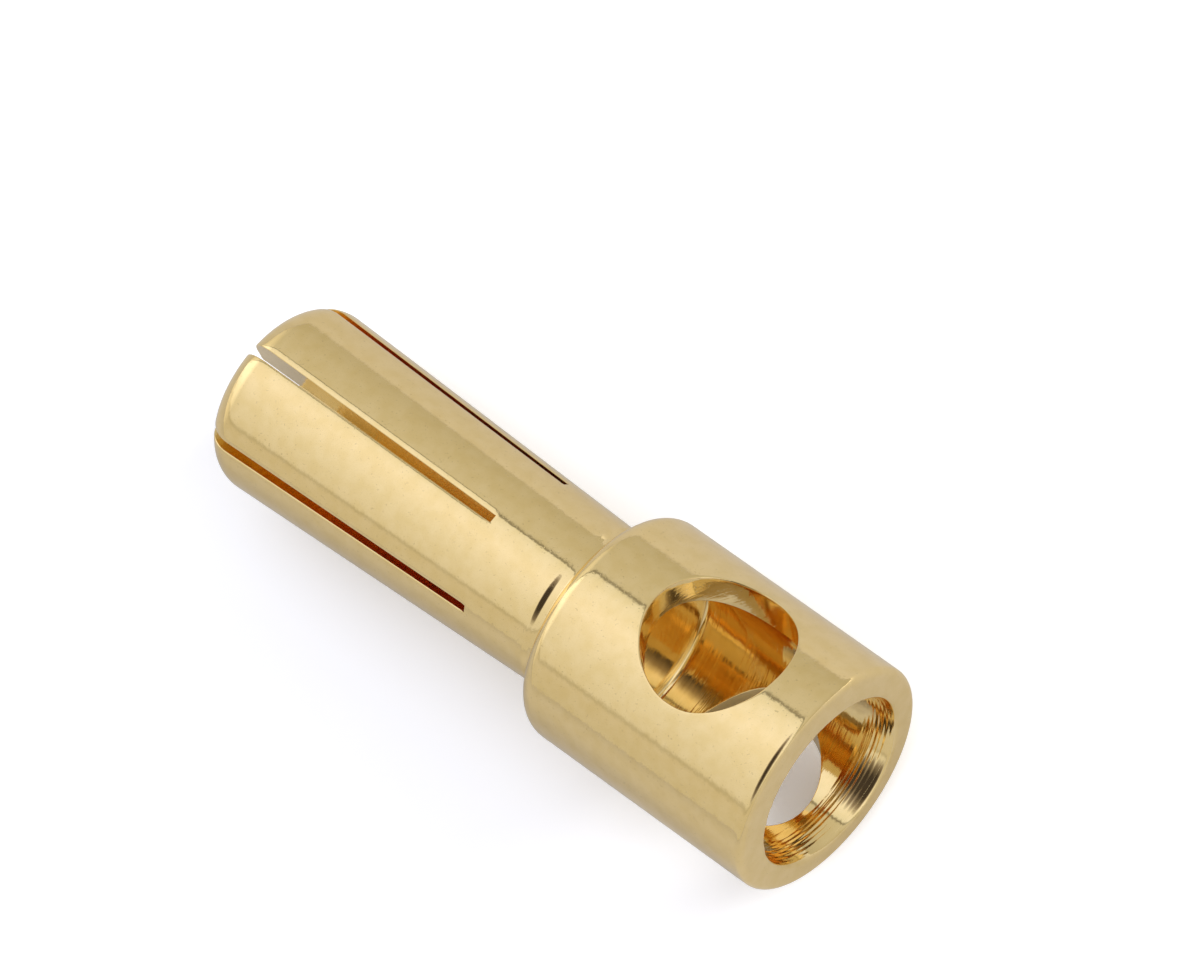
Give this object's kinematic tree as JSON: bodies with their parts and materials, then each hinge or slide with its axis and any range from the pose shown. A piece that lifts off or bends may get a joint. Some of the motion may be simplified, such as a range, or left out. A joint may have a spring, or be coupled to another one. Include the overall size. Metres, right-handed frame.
{
  "type": "gold battery lead connector",
  "caption": "Male bullet connector for a battery lead: a solder cup with a cross hole, and a sprung pin slit into prongs, all in one piece.",
  "frame": {"origin": "centre of the solder cup's mouth, where it stands", "axes": "+Z along the connector's axis, from the cup's mouth towards the tip of the pin; +X along the cross hole"},
  "size_m": [0.007, 0.007, 0.0207],
  "materials": {
    "gold_plate": "bright gold plate over turned brass, with fine turning marks"
  },
  "bodies": {
    "root": {"connector": "gold_plate"}
  },
  "joints": []
}
